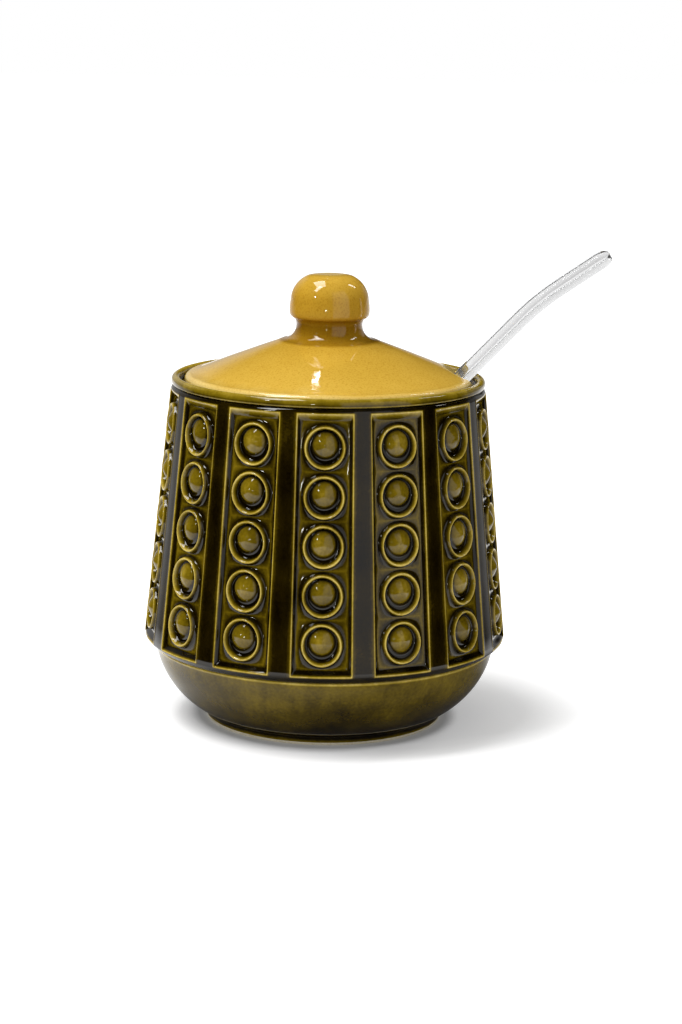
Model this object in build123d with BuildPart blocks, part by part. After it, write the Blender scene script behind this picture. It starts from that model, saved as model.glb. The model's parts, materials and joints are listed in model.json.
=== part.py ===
from build123d import *
from math import asin, atan2, cos, degrees, hypot, pi, radians, sin, sqrt, tan
import os

# A lidded stoneware jar with a serving spoon that stands in it, in millimetres.
# The origin is the centre of the foot on the table, +Z goes up through the knob,
# and the front panel of the relief faces -Y.

# Pot, outer shape
pot_height = 115.5  # table to the top of the lip
shoulder_radius = 60.4  # widest line of the wall
shoulder_height = 28.2
wall_top_radius = 52.05  # where the wall ends, under the lip
wall_top_drop = 4.6  # below the lip's top
arris_drop = 2.9  # sharp line below the shoulder where the smooth bowl begins
arris_step = 3.4  # in from the shoulder
bowl_bulge = 3.2
foot_radius = 40.3
foot_height = 3.1
foot_draft = 0.9  # how much the foot narrows down to the table
foot_ring_width = 4.2  # the bare ring that stands on the table
foot_recess = 2.2

# Pot, lip and the ledge that carries the lid
lip_radius = 51.9
lip_thickness = 3.0
groove_drop = 3.1  # dark groove under the lip
groove_depth = 0.7
ledge_drop = 2.5  # below the lip's top

# Pot, inside
wall_thickness = 5.7
floor_thickness = 7.6
floor_radius = 38.5
inner_shoulder_rise = 1.8  # above the outer shoulder
inner_bowl_bulge = 2.0

# Pot, relief: panels sunk between plain ribs
panel_count = 14
rib_width_top = 5.7
rib_width_bottom = 7.5
panel_depth = 2.0
panel_top_drop = 4.3  # below the lip's top
panel_side_slope = 40  # degrees out of square, so that the pot leaves its mould
ring_top_margin = 10.0  # from the panel's upper line to the first ring's centre
ring_bottom_margin = 11.0

# Pot, relief: a raised ring round a boss, in every place of every panel
ring_sides = 10
ring_base = 13.7
ring_crest = 12.0
ring_bore = 10.4
ring_height = 2.0
ring_gap = 1.5
boss_sides = 8
boss_base = 7.8
boss_top = 2.8
boss_height = 2.2
boss_rise = 1.1  # the boss stands above the ring's centre

# Lid
lid_clearance = 1.4  # between the lid's edge and the lip
seat_clearance = 0.3
lid_edge_height = 2.7  # from the underside to the top of the edge
lid_edge_round = 1.2
lid_slope = 21.2  # degrees
lid_thickness = 4.6
bite_radius = 14.0  # round bite in the lid's edge that lets the spoon out
bite_depth = 9.9
bite_azimuth = 6.0  # degrees from +X towards the back

# Knob, in one piece with the lid
knob_radius = 13.15
knob_height = 20.6  # from its foot on the lid to its top
knob_foot_radius = 14.3
knob_neck_radius = 10.84
knob_flat_radius = 6.4
knob_neck_share = 0.21  # heights on the knob, from its foot to its top
knob_bead_share = 0.40
knob_side_share = 0.64
knob_side_draft = 0.5  # how much the side narrows upwards
knob_foot_bulge = 1.3
knob_crown_bulge = 1.9

# Spoon, clear and moulded in one piece
spoon_roll = 15.0  # degrees that it leans over towards the front
toe_clearance = 0.3  # its tip rests in the hollow of the pot's inner bowl
toe_share = 0.7  # way down the inner bowl's upper slope
ledge_clearance = 0.6  # its shank rests against the edge of the ledge
shank_thickness = 2.5
shank_width = 7.6
neck_width = 5.6
handle_width = 8.6
shank_above_lip = 27.0  # straight part above the lip, before the handle bends
bend_radius = 72.0
bend_angle = 12.8
handle_end = 20.5
dish_length = 36.0
dish_width = 24.0
dish_depth = 8.0
dish_skin = 1.8
neck_root = 5.0  # how far the handle reaches into the dish's edge

# Round stretches of the outlines are drawn as this many chords, and what nobody sees of the
# inside has flat sides, to keep the shapes light.
bowl_chord_count = 3
inner_bowl_chord_count = 2
lip_chord_count = 4
knob_chord_count = 2
dish_chord_count = 4  # an even number, so that the deepest point is drawn
inside_sides = 56
overrun = 5.0  # how far a cutter reaches past what it cuts

# Heights, radii and slopes that follow from the sizes above
wall_top = pot_height - wall_top_drop
arris_height = shoulder_height - arris_drop
arris_radius = shoulder_radius - arris_step
ledge_height = pot_height - ledge_drop
lip_inner_radius = lip_radius - lip_thickness
lip_round = lip_thickness / 2
lip_side = pot_height - lip_round
panel_top = pot_height - panel_top_drop
panel_bottom = shoulder_height
wall_lean = atan2(shoulder_radius - wall_top_radius, wall_top - shoulder_height)


def wall_radius(height):
    """Radius of the ribs at a height."""
    return shoulder_radius - (height - shoulder_height) * tan(wall_lean)


def round_stretch(start, end, bulge, chords):
    """Points of an arc from start to end. It bulges to the left of its chord, or to the
    right where bulge is below 0."""
    run, rise = end[0] - start[0], end[1] - start[1]
    chord = hypot(run, rise)
    radius = (chord**2 / 4 + bulge**2) / (2 * bulge)
    half_turn = 2 * atan2(bulge, chord / 2)
    points = []
    for step in range(chords + 1):
        turn = half_turn * (2 * step / chords - 1)
        along = 1 / 2 + radius * sin(turn) / chord
        aside = (radius * cos(turn) - radius + bulge) / chord
        points.append((start[0] + run * along - rise * aside, start[1] + rise * along + run * aside))
    return points


def flat_sided(sides, start_width, end_width, start_height, end_height):
    """A solid with flat sides that narrows from its start to its end, upwards or downwards."""
    if end_height < start_height:
        upright = flat_sided(sides, start_width, end_width, -start_height, -end_height)
        return mirror(upright, about=Plane.XY)
    length = end_height - start_height
    with BuildPart() as solid:
        with BuildSketch(Plane.XY.offset(start_height)):
            RegularPolygon(start_width / 2, sides, major_radius=False)
        extrude(amount=length, taper=degrees(atan2(start_width - end_width, 2 * length)))
    return solid.part


os.makedirs("parts", exist_ok=True)


# One panel's cutter. Its floor is flat and its sides slope out, so that the four lines
# where they meet the ribs are thin raised arrises.
half_pitch = pi / panel_count
side_spread = tan(radians(panel_side_slope))
sagitta = wall_radius(panel_bottom) * (1 - cos(half_pitch))
cutter_height = 2 * panel_depth
floor_middle = (panel_top + panel_bottom) / 2
floor_reach = wall_radius(floor_middle) - panel_depth
floor_half_length = (panel_top - panel_bottom) / (2 * cos(wall_lean)) - panel_depth * side_spread
side_inset = (panel_depth - sagitta / 2) * side_spread


def floor_half_width(height, rib_width):
    """Half the width of a panel's floor at a height."""
    return wall_radius(height) * sin(half_pitch) - rib_width / 2 - side_inset


top_half_width = floor_half_width(panel_top, rib_width_top)
bottom_half_width = floor_half_width(panel_bottom, rib_width_bottom)

with BuildPart() as panel_cutter:
    with BuildSketch():
        with BuildLine():
            Polyline(
                (-bottom_half_width, -floor_half_length),
                (bottom_half_width, -floor_half_length),
                (top_half_width, floor_half_length),
                (-top_half_width, floor_half_length),
                close=True,
            )
        make_face()
        offset(amount=cutter_height * side_spread, kind=Kind.INTERSECTION)
    extrude(amount=cutter_height + panel_depth)
    cutter_floor = faces().sort_by(Axis.Z)[0]
    chamfer(
        cutter_floor.edges(),
        length=cutter_height * side_spread,
        length2=cutter_height,
        reference=cutter_floor,
    )

# One ring, its bore and one boss. They reach a little under the panel's floor, and the
# bore stops on it.
root = panel_depth / 4
ring_spread = (ring_base - ring_crest) / ring_height
bore_spread = (ring_crest - ring_bore) / ring_height
boss_spread = (boss_base - boss_top) / boss_height
ring = flat_sided(ring_sides, ring_base + root * ring_spread, ring_crest, -root, ring_height)
bore_cutter = flat_sided(
    ring_sides, ring_crest + root * bore_spread, ring_bore, ring_height + root, 0
)
boss = flat_sided(boss_sides, boss_base + root * boss_spread, boss_top, -root, boss_height)


def panel_plane(index, rise=0):
    """A plane on the floor of one panel, at a distance above the panel's middle."""
    turn = 2 * pi * index / panel_count - pi / 2
    reach = floor_reach - rise * sin(wall_lean)
    return Plane(
        origin=(reach * cos(turn), reach * sin(turn), floor_middle + rise * cos(wall_lean)),
        x_dir=(-sin(turn), cos(turn), 0),
        z_dir=(cos(wall_lean) * cos(turn), cos(wall_lean) * sin(turn), sin(wall_lean)),
    )


ring_run = panel_top - panel_bottom - ring_top_margin - ring_bottom_margin
ring_rows = 1 + int(ring_run / (ring_base + ring_gap))
ring_pitch = ring_run / max(ring_rows - 1, 1)
lowest_ring = panel_bottom + ring_bottom_margin - floor_middle
panel_places = [panel_plane(index) for index in range(panel_count)]
ring_places = [
    panel_plane(index, (lowest_ring + row * ring_pitch) / cos(wall_lean))
    for index in range(panel_count)
    for row in range(ring_rows)
]


# The inside is a list of stations, each with its radius and height: the ledge, the foot of
# the leaning wall, and down the inner bowl to the floor.
ledge_radius = wall_radius(ledge_height) - wall_thickness
inner_wall_foot = shoulder_height + inner_shoulder_rise
inner_bowl = round_stretch(
    (wall_radius(inner_wall_foot) - wall_thickness, inner_wall_foot),
    (floor_radius, floor_thickness),
    inner_bowl_bulge,
    inner_bowl_chord_count,
)
foot_ring_inner = foot_radius - foot_draft - foot_ring_width

# The pot is turned from one outline, its foot, smooth bowl, leaning wall and rolled lip,
# and hollowed out below the ledge.
with BuildPart() as pot:
    with BuildSketch(Plane.XZ):
        with BuildLine():
            Polyline(
                (0, ledge_height),
                (0, foot_recess),
                (foot_ring_inner, foot_recess),
                (foot_ring_inner, 0),
                (foot_radius - foot_draft, 0),
                *round_stretch(
                    (foot_radius, foot_height), (arris_radius, arris_height), -bowl_bulge, bowl_chord_count
                ),
                (shoulder_radius, shoulder_height),
                (wall_top_radius, wall_top),
                (lip_radius - groove_depth, pot_height - groove_drop),
                *round_stretch(
                    (lip_radius, lip_side), (lip_inner_radius, lip_side), -lip_round, lip_chord_count
                ),
                (lip_inner_radius, ledge_height),
                close=True,
            )
        make_face()
    revolve(axis=Axis.Z)
    add(
        flat_sided(
            inside_sides, 2 * inner_bowl[0][0], 2 * ledge_radius, inner_wall_foot, ledge_height
        ),
        mode=Mode.SUBTRACT,
    )
    for upper, lower in zip(inner_bowl, inner_bowl[1:]):
        add(
            flat_sided(inside_sides, 2 * upper[0], 2 * lower[0], upper[1], lower[1]),
            mode=Mode.SUBTRACT,
        )
    with Locations(*panel_places):
        add(panel_cutter.part, mode=Mode.SUBTRACT)
    with Locations(*ring_places):
        add(ring)
    with Locations(*ring_places):
        add(bore_cutter, mode=Mode.SUBTRACT)
    with Locations(*[place * Location((0, boss_rise, 0)) for place in ring_places]):
        add(boss)

pot.part.label = "pot"
export_step(pot.part, "parts/pot.step")


# The lid is turned from one outline with its knob: a flat cone with a rounded edge that lies
# on the ledge. Its underside is hollow up to the knob.
lid_radius = lip_inner_radius - lid_clearance
lid_seat = ledge_height + seat_clearance
lid_edge_top = lid_seat + lid_edge_height
lid_top_radius = lid_radius - lid_edge_round
lid_rise = tan(radians(lid_slope))
knob_foot = lid_edge_top + (lid_top_radius - knob_foot_radius) * lid_rise
knob_top = knob_foot + knob_height
seat_inner = lid_top_radius - (lid_thickness - lid_edge_height) / lid_rise
under_knob = lid_seat + (seat_inner - knob_neck_radius) * lid_rise
knob_neck = (knob_neck_radius, knob_foot + knob_neck_share * knob_height)
knob_bead = (knob_radius, knob_foot + knob_bead_share * knob_height)
knob_side = (knob_radius - knob_side_draft, knob_foot + knob_side_share * knob_height)

with BuildPart() as lid:
    with BuildSketch(Plane.XZ):
        with BuildLine():
            Polyline(
                (0, lid_seat),
                (lid_radius, lid_seat),
                (lid_radius, lid_edge_top - lid_edge_round),
                (lid_top_radius, lid_edge_top),
                *round_stretch((knob_foot_radius, knob_foot), knob_neck, knob_foot_bulge, knob_chord_count),
                knob_bead,
                *round_stretch(knob_side, (knob_flat_radius, knob_top), -knob_crown_bulge, knob_chord_count),
                (0, knob_top),
                close=True,
            )
        make_face()
    revolve(axis=Axis.Z)
    add(
        flat_sided(inside_sides, 2 * seat_inner, 2 * knob_neck_radius, lid_seat, under_knob),
        mode=Mode.SUBTRACT,
    )

    # The bite in the edge is a plain round cut.
    bite_turn = radians(bite_azimuth)
    bite_reach = lid_radius - bite_depth + bite_radius
    with BuildSketch(Plane.XY.offset(lid_seat - overrun)):
        with Locations((bite_reach * cos(bite_turn), bite_reach * sin(bite_turn))):
            Circle(bite_radius)
    extrude(amount=knob_foot - lid_seat + 2 * overrun, mode=Mode.SUBTRACT)

lid.part.label = "lid"
export_step(lid.part, "parts/lid.step")


# The spoon leans across the pot in the upright plane through the bite. Its tip rests
# against the inside of the pot on the far side, its shank lies on the edge of the ledge and
# comes out through the bite.
upper, lower = inner_bowl[:2]
toe_height = upper[1] + toe_share * (lower[1] - upper[1])
toe_reach = upper[0] + toe_share * (lower[0] - upper[0]) - toe_clearance - shank_thickness
ledge_reach = ledge_radius - ledge_clearance + toe_reach
ledge_rise = ledge_height - toe_height
roll = radians(spoon_roll)
shank_half_height = (shank_thickness * cos(roll) + shank_width * sin(roll)) / 2
shank_lean = atan2(ledge_rise, ledge_reach) + asin(shank_half_height / hypot(ledge_rise, ledge_reach))
toe_to_mouth = (pot_height - toe_height) / sin(shank_lean)
outward = Vector(cos(bite_turn), sin(bite_turn), 0)
shank_way = outward * cos(shank_lean) + Vector(0, 0, sin(shank_lean))
toe = outward * -toe_reach + Vector(0, 0, toe_height)
across = shank_way.cross(Vector(0, 0, 1)).normalized()
top_way = across.cross(shank_way).normalized()
rolled_top = top_way * cos(roll) + across * sin(roll)
spoon_top = Plane(origin=toe, x_dir=shank_way, z_dir=rolled_top)
spoon_side = Plane(origin=toe, x_dir=shank_way, z_dir=shank_way.cross(rolled_top))

# The dish is turned about a line over the shank, so that its rim is an oval of the given
# length and width, level with the top of the handle.
rim_height = shank_thickness / 2
swing_radius = (dish_width**2 / 4 + dish_depth**2) / (2 * dish_depth)
swing_drop = swing_radius - dish_depth
swing_height = rim_height + swing_drop
swing_length = dish_length / 2 / sqrt(1 - (swing_drop / swing_radius) ** 2)


def dish_outline(skin):
    """Side outline of the dish, or of the hollow that leaves a skin, up to its turning line."""
    length, radius = swing_length - skin, swing_radius - skin
    first = asin(swing_drop / radius)
    points = []
    for step in range(dish_chord_count + 1):
        turn = first + (pi - 2 * first) * step / dish_chord_count
        points.append((dish_length / 2 - length * cos(turn), swing_height - radius * sin(turn)))
    reach = swing_drop * (points[1][0] - points[0][0]) / (points[0][1] - points[1][1])
    first_end = (points[0][0] - reach, swing_height)
    last_end = (points[-1][0] + reach, swing_height)
    return [first_end, *points[1:-1], last_end]


bend_start = toe_to_mouth + shank_above_lip
bend_turn = radians(bend_angle)
bend_middle = (
    bend_start + bend_radius * sin(bend_turn / 2),
    -bend_radius * (1 - cos(bend_turn / 2)),
)
bend_end = (
    bend_start + bend_radius * sin(bend_turn),
    -bend_radius * (1 - cos(bend_turn)),
)
handle_tip = (
    bend_end[0] + handle_end * cos(bend_turn),
    bend_end[1] - handle_end * sin(bend_turn),
)
tip_round_start = handle_tip[0] - handle_width / 2

with BuildPart() as spoon:
    # Handle: its side view, cut to its outline from above
    with BuildSketch(spoon_side):
        with BuildLine():
            Line((dish_length - neck_root, 0), (bend_start, 0))
            ThreePointArc((bend_start, 0), bend_middle, bend_end)
            Line(bend_end, handle_tip)
        trace(line_width=shank_thickness)
    extrude(amount=handle_width, both=True)
    with BuildSketch(spoon_top):
        with BuildLine():
            Polyline(
                (tip_round_start, -handle_width / 2),
                (toe_to_mouth, -shank_width / 2),
                (dish_length + neck_root, -neck_width / 2),
                (dish_length - neck_root - overrun, -neck_width / 2),
                (dish_length - neck_root - overrun, neck_width / 2),
                (dish_length + neck_root, neck_width / 2),
                (toe_to_mouth, shank_width / 2),
                (tip_round_start, handle_width / 2),
            )
            ThreePointArc(
                (tip_round_start, handle_width / 2),
                (handle_tip[0], 0),
                (tip_round_start, -handle_width / 2),
            )
        make_face()
    extrude(amount=bend_radius, both=True, mode=Mode.INTERSECT)

    # Dish: turned, cut off level with the handle's top, then hollowed
    swing_line = Axis(origin=spoon_side.from_local_coords((0, swing_height)), direction=shank_way)
    with BuildSketch(spoon_side):
        with BuildLine():
            Polyline(*dish_outline(0), close=True)
        make_face()
    revolve(axis=swing_line)
    split(bisect_by=spoon_top.offset(rim_height), keep=Keep.BOTTOM)
    with BuildSketch(spoon_side):
        with BuildLine():
            Polyline(*dish_outline(dish_skin), close=True)
        make_face()
    revolve(axis=swing_line, mode=Mode.SUBTRACT)

spoon.part.label = "spoon"
export_step(spoon.part, "parts/spoon.step")
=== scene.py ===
# %% [markdown]
# # A stoneware jar with a relief, a lid and a clear spoon
# The jar is a glazed stoneware pot with fourteen sunk panels, each with five raised rings round
# a boss. Its lid is a flat cone with a round knob, and a clear spoon leans out through a bite
# in the lid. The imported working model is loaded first. All could be measured again, but its
# boxes and joints keep the new pieces where it has them. Sizes below are in millimetres.

# %% Load the frame
import json
from math import atan2, cos, hypot, pi, radians, sin, sqrt, tan

import bmesh
import bpy
from mathutils import Matrix, Vector


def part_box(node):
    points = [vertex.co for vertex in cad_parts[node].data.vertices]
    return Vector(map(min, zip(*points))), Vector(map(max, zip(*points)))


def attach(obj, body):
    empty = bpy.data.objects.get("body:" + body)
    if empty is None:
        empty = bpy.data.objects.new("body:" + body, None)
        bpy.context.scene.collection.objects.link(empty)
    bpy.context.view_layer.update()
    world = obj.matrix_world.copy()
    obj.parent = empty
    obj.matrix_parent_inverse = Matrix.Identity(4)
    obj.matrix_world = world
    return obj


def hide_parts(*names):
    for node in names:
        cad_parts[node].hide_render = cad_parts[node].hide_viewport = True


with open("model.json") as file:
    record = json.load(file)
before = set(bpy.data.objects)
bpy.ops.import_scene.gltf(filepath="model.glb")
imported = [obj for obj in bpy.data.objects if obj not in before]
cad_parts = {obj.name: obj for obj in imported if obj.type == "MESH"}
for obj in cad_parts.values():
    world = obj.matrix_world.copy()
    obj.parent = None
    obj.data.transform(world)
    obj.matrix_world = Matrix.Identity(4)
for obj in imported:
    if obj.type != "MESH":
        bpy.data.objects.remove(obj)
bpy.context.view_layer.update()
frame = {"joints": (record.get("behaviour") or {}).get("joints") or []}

mm = 0.001

# %% [markdown]
# ## Camera
# The photograph looks at the jar from a little above, with a long lens. A camera could be
# aimed with a constraint, but the fitted view also leans by one degree, so its matrix is built
# from plain turns instead: a tiny pan, the tilt down, the lean about its own axis, and last a
# small step round the jar, which brings the panels to where the photograph has them.

# %% Camera
camera_place = Vector((0, -835.1, 241.5)) * mm
camera_lens, film_long_side = 89.64, 36
look_down = 11.646
camera_pan, camera_tilt, camera_lean = radians(-0.336), radians(90 - look_down), radians(1.003)
camera_round = radians(0.8)  # to the right

camera = bpy.data.objects.new("camera", bpy.data.cameras.new("camera"))
bpy.context.scene.collection.objects.link(camera)
camera.data.lens = camera_lens
camera.data.sensor_width = film_long_side
turned = Matrix.Rotation(camera_pan, 4, "Z") @ Matrix.Rotation(camera_tilt, 4, "X")
aimed = Matrix.Translation(camera_place) @ turned @ Matrix.Rotation(camera_lean, 4, "Z")
camera.matrix_world = Matrix.Rotation(camera_round, 4, "Z") @ aimed
bpy.context.scene.camera = camera
print("camera", round(camera_place.length / mm), "mm from the foot")

# %% [markdown]
# ## Selecting and marking
# The pieces are shaped in edit mode, as by hand. There one would click on points; here they
# are found in code, by their place. What colours this ware is how thick its glaze lies, so
# each point also carries a glaze value, from 0 where it runs thin to 1 where it pools. The value
# is written while its row is still selected, because afterwards nothing tells the rows apart.

# %% Select and mark points
weld = 0.01 * mm  # points nearer than this are merged


def pick_only(piece):
    """Leaves one object selected and active."""
    bpy.ops.object.select_all(action="DESELECT")
    piece.select_set(True)
    bpy.context.view_layer.objects.active = piece


def selected(mesh):
    """The selected vertices of a mesh that is being edited."""
    return [vertex for vertex in mesh.verts if vertex.select]


def read_layer(mesh, name):
    """A layer of one number per vertex, made if it isn't there."""
    return mesh.verts.layers.float.get(name) or mesh.verts.layers.float.new(name)


def mark_selected(piece, layer_name, value):
    """Writes a value on the selected vertices."""
    mesh = bmesh.from_edit_mesh(piece.data)
    layer = read_layer(mesh, layer_name)
    for vertex in selected(mesh):
        vertex[layer] = value
    bmesh.update_edit_mesh(piece.data)


# %% [markdown]
# ## Outlines that are turned
# The pot and the lid are thrown or jiggered ware: one outline turned about an axis. A stack of
# cylinders could give a rough form, but an outline that is drawn point by point and spun keeps
# every curve, as a potter's profile gauge does. A row of an outline holds a radius, a height and
# a glaze value. Two more numbers make the way to it an arc: its bulge, to the left of its way or
# below 0 to the right, and its number of chords.

# %% Rows and arcs
def arc(start, end, bulge, chords):
    """Stations of an arc after its start."""
    run, rise = end[0] - start[0], end[1] - start[1]
    chord = hypot(run, rise)
    radius = (chord**2 / 4 + bulge**2) / (2 * bulge)
    half_turn = 2 * atan2(bulge, chord / 2)
    stations = []
    for step in range(1, chords + 1):
        share = step / chords
        turn = half_turn * (2 * share - 1)
        along = 1 / 2 + radius * sin(turn) / chord
        aside = (radius * cos(turn) - radius + bulge) / chord
        stations.append((
            start[0] + run * along - rise * aside,
            start[1] + rise * along + run * aside,
            start[2] + (end[2] - start[2]) * share,
        ))
    return stations


def outline(rows):
    """Stations of radius, height and glaze, from rows that may be arcs."""
    stations = []
    for radius, height, glaze, *curve in rows:
        end = (radius, height, glaze)
        stations += arc(stations[-1], end, *curve) if curve else [end]
    return stations


def beside(radius, height, rows):
    """Rows whose radius and height are counted from a corner."""
    return [(radius + out, height + up, *rest) for out, up, *rest in rows]


# %% Draw an outline and turn it
def draw_outline(name, stations):
    """Extrudes one point through the stations and leaves the line in edit mode."""
    bpy.ops.object.select_all(action="DESELECT")
    radius, height, glaze = stations[0]
    bpy.ops.mesh.primitive_plane_add(size=mm, location=(radius * mm, 0, height * mm))
    piece = bpy.context.object
    piece.name = piece.data.name = name
    bpy.ops.object.transform_apply(location=True, rotation=True, scale=True)
    bpy.ops.object.mode_set(mode="EDIT")
    bpy.ops.mesh.select_mode(type="VERT")
    bpy.ops.mesh.merge(type="CENTER")
    mark_selected(piece, "glaze", glaze)
    for last, station in zip(stations, stations[1:]):
        step = ((station[0] - last[0]) * mm, 0, (station[1] - last[1]) * mm)
        bpy.ops.mesh.extrude_vertices_move(TRANSFORM_OT_translate={"value": step})
        mark_selected(piece, "glaze", station[2])
    return piece


def turn_outline(piece, steps):
    """Spins the outline that is being edited round the Z axis and closes it."""
    bpy.ops.mesh.select_all(action="SELECT")
    bpy.ops.mesh.spin(steps=steps, angle=2 * pi, center=(0, 0, 0), axis=(0, 0, 1))
    bpy.ops.mesh.select_all(action="SELECT")
    bpy.ops.mesh.remove_doubles(threshold=weld)
    bpy.ops.mesh.normals_make_consistent(inside=False)
    bpy.ops.object.mode_set(mode="OBJECT")
    pick_only(piece)
    bpy.ops.object.shade_smooth_by_angle(angle=radians(50))
    print(piece.name, len(piece.data.polygons), "faces")


# %% [markdown]
# ## Body of the pot
# This is the plain part of the pot: its inside, the ledge that carries the lid, the rolled lip
# with the dark groove under it, the smooth bowl and the foot. Behind the relief the body stands
# back a little, because the relief is a sleeve of its own. Keeping the two apart lets the body
# be turned in one go, and only the relief needs a finer mesh.

# %% The leaning wall
pot_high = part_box("pot")[1]
shoulder_radius, lip_top = pot_high[0] / mm, pot_high[2] / mm
shoulder_height = 28.2
wall_top, wall_top_radius = 110.9, 52.05
wall_lean = atan2(shoulder_radius - wall_top_radius, wall_top - shoulder_height)


def wall_radius(height):
    """Radius of the ribs at a height."""
    return shoulder_radius - (height - shoulder_height) * tan(wall_lean)


print("lip top", round(lip_top, 2), "shoulder radius", round(shoulder_radius, 2))

# %% Inside and ledge
floor_height, floor_radius = 7.6, 38.5
inner_shoulder_height, inner_shoulder_radius = 30.0, 54.52
ledge_height, ledge_radius = 113.0, 46.14
lip_radius, lip_inner_radius = 51.9, 48.9
soft_edge = 0.5  # the ledge's edge and its corner are rounded by this much
inside = [
    (0, floor_height, 0.8),
    *beside(floor_radius, floor_height, [(-6, 0, 0.8), (1.6, 1.6, 0.8, -0.7, 4)]),
    (inner_shoulder_radius, inner_shoulder_height, 0.7, -1.9, 8),
    (ledge_radius, ledge_height - soft_edge, 0.5),
    (ledge_radius + soft_edge, ledge_height, 0.1, 0.15, 3),
    (lip_inner_radius - soft_edge, ledge_height, 0.9),
    (lip_inner_radius, ledge_height + soft_edge, 0.8, -0.14, 3),
]
print("ledge", round(lip_inner_radius - ledge_radius, 2), "mm wide")

# %% Lip and groove
lip_side = lip_top - (lip_radius - lip_inner_radius) / 2
lip_bulge = 0.44
lip = [
    (lip_inner_radius, lip_side, 0.5),
    ((lip_radius + lip_inner_radius) / 2, lip_top, 0.16, lip_bulge, 5),
    (lip_radius, lip_side, 0.42, lip_bulge, 5),
    *beside(lip_radius, ledge_height, [
        (-0.05, 0.55, 0.60),
        (-0.10, 0.25, 0.40),
        (-0.35, -0.10, 0.05, 0.08, 2),
        (-0.70, -0.25, 0.85),
        (-0.85, -0.70, 1.00),
    ]),
    *beside(lip_radius, wall_top, [(-0.9, 0.9, 1.0), (-2.4, 0.4, 1.0)]),
]
print("lip", lip_radius - lip_inner_radius, "mm thick")

# %% Hidden back, ridge and bowl
back_off = 3.0  # the body stands this far behind the ribs
ridge_radius, ridge_height = 57.2, 25.3
foot_radius, foot_height = 40.3, 3.1
bowl_bulge = 3.1
bowl = [
    *beside(wall_radius(wall_top) - back_off, wall_top, [(0, -1, 1.0)]),
    *beside(wall_radius(shoulder_height) - back_off, shoulder_height, [(-1, 1, 1.0)]),
    *beside(ridge_radius, ridge_height, [
        (-1.30, 1.00, 0.60),
        (-0.25, 0.32, 0.15),
        (-0.10, -0.30, 0.10, 0.2, 4),
        (-0.45, -0.90, 0.45),
    ]),
    (foot_radius, foot_height, 0.86, bowl_bulge, 18),
]
print("bowl", ridge_height - foot_height, "mm high")

# %% Foot, and the body turned
glaze_line = 0.9  # the glaze stops this far above the table
recess = 2.2
foot_round = 0.12  # bulge of the small arcs at the foot's edges
foot = [
    *beside(foot_radius, foot_height, [(-0.5, -0.8, 0.95, -foot_round, 3)]),
    *beside(foot_radius, 0, [
        (-0.85, glaze_line, 0.3),
        (-0.90, 0.35, 0.0),
        (-1.30, 0, 0.0, foot_round, 3),
        (-4.70, 0, 0.0),
        (-5.10, 0.4, 0.0, foot_round, 3),
    ]),
    *beside(foot_radius, recess, [(-5.2, -0.4, 0.7), (-5.6, 0, 0.9, -foot_round, 3)]),
    (0, recess, 0.6),
]
body_steps = 168  # twelve to a panel

pot_body = draw_outline("pot_body", outline(inside + lip + bowl + foot))
turn_outline(pot_body, body_steps)

# %% [markdown]
# ## One ring and its boss
# The relief repeats one motif seventy times: a raised ring with a round crest, and in it a boss
# that is a blunt cone, a little above the middle, so that glaze pools in a crescent below. It
# could be cut from a torus and a cone with booleans, but the glaze softens every corner of the
# real one. So one circle is extruded inwards again and again, row by row, which gives a smooth
# skin with the rows just where the glaze changes colour.

# %% Rows of the motif
ring_sides = 16
ring_rows = [
    # radius, rise of the centre, height over the floor, glaze
    (7.15, 0.0, 0.05, 0.90),
    (6.85, 0.0, 0.95, 0.74),
    (6.62, 0.0, 1.75, 0.34),
    (6.35, 0.0, 2.08, 0.00),
    (6.02, 0.0, 1.85, 0.16),
    (5.68, 0.0, 1.15, 0.46),
    (5.38, 0.0, 0.35, 0.80),
    (5.16, 0.0, 0.08, 1.00),
    (4.62, 0.45, 0.05, 1.00),
    (4.18, 0.85, 0.50, 0.85),
    (3.70, 0.87, 1.12, 0.46),
    (2.35, 0.88, 1.85, 0.42),
    (1.05, 0.88, 2.42, 0.36),
    (0.35, 0.88, 2.64, 0.36),
]
outer_radius, _, _, outer_glaze = ring_rows[0]
print("ring", 2 * outer_radius, "mm across with", len(ring_rows), "rows")

# %% Draw the motif
bpy.ops.object.select_all(action="DESELECT")
bpy.ops.mesh.primitive_circle_add(
    vertices=ring_sides, radius=outer_radius * mm, fill_type="NOTHING", rotation=(pi / 2, 0, 0)
)
relief = bpy.context.object
relief.name = relief.data.name = "pot_relief"
bpy.ops.object.transform_apply(location=True, rotation=True, scale=True)
bpy.ops.object.mode_set(mode="EDIT")
mark_selected(relief, "glaze", outer_glaze)
for last, row in zip(ring_rows, ring_rows[1:]):
    radius, centre_rise, height, glaze = row
    step = (0, (last[2] - height) * mm, (centre_rise - last[1]) * mm)
    bpy.ops.mesh.extrude_edges_move(TRANSFORM_OT_translate={"value": step})
    shrink = radius / last[0]
    centre = (0, -height * mm, centre_rise * mm)
    bpy.ops.transform.resize(value=(shrink, 1, shrink), center_override=centre)
    mark_selected(relief, "glaze", glaze)
bpy.ops.mesh.extrude_edges_move()
bpy.ops.mesh.merge(type="CENTER")
print("motif", len(bmesh.from_edit_mesh(relief.data).verts), "vertices")

# %% [markdown]
# ## Five motifs on a flat floor
# In the pot each column of rings lies on a sunk floor that narrows a little upwards. Rings could
# be set on a plane with booleans, but then the faces between them would be long slivers. Here
# the outer circle of the motif grows into the border of a cell, five cells are stacked, and
# their common border is moved out to the floor's own edges.

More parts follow.
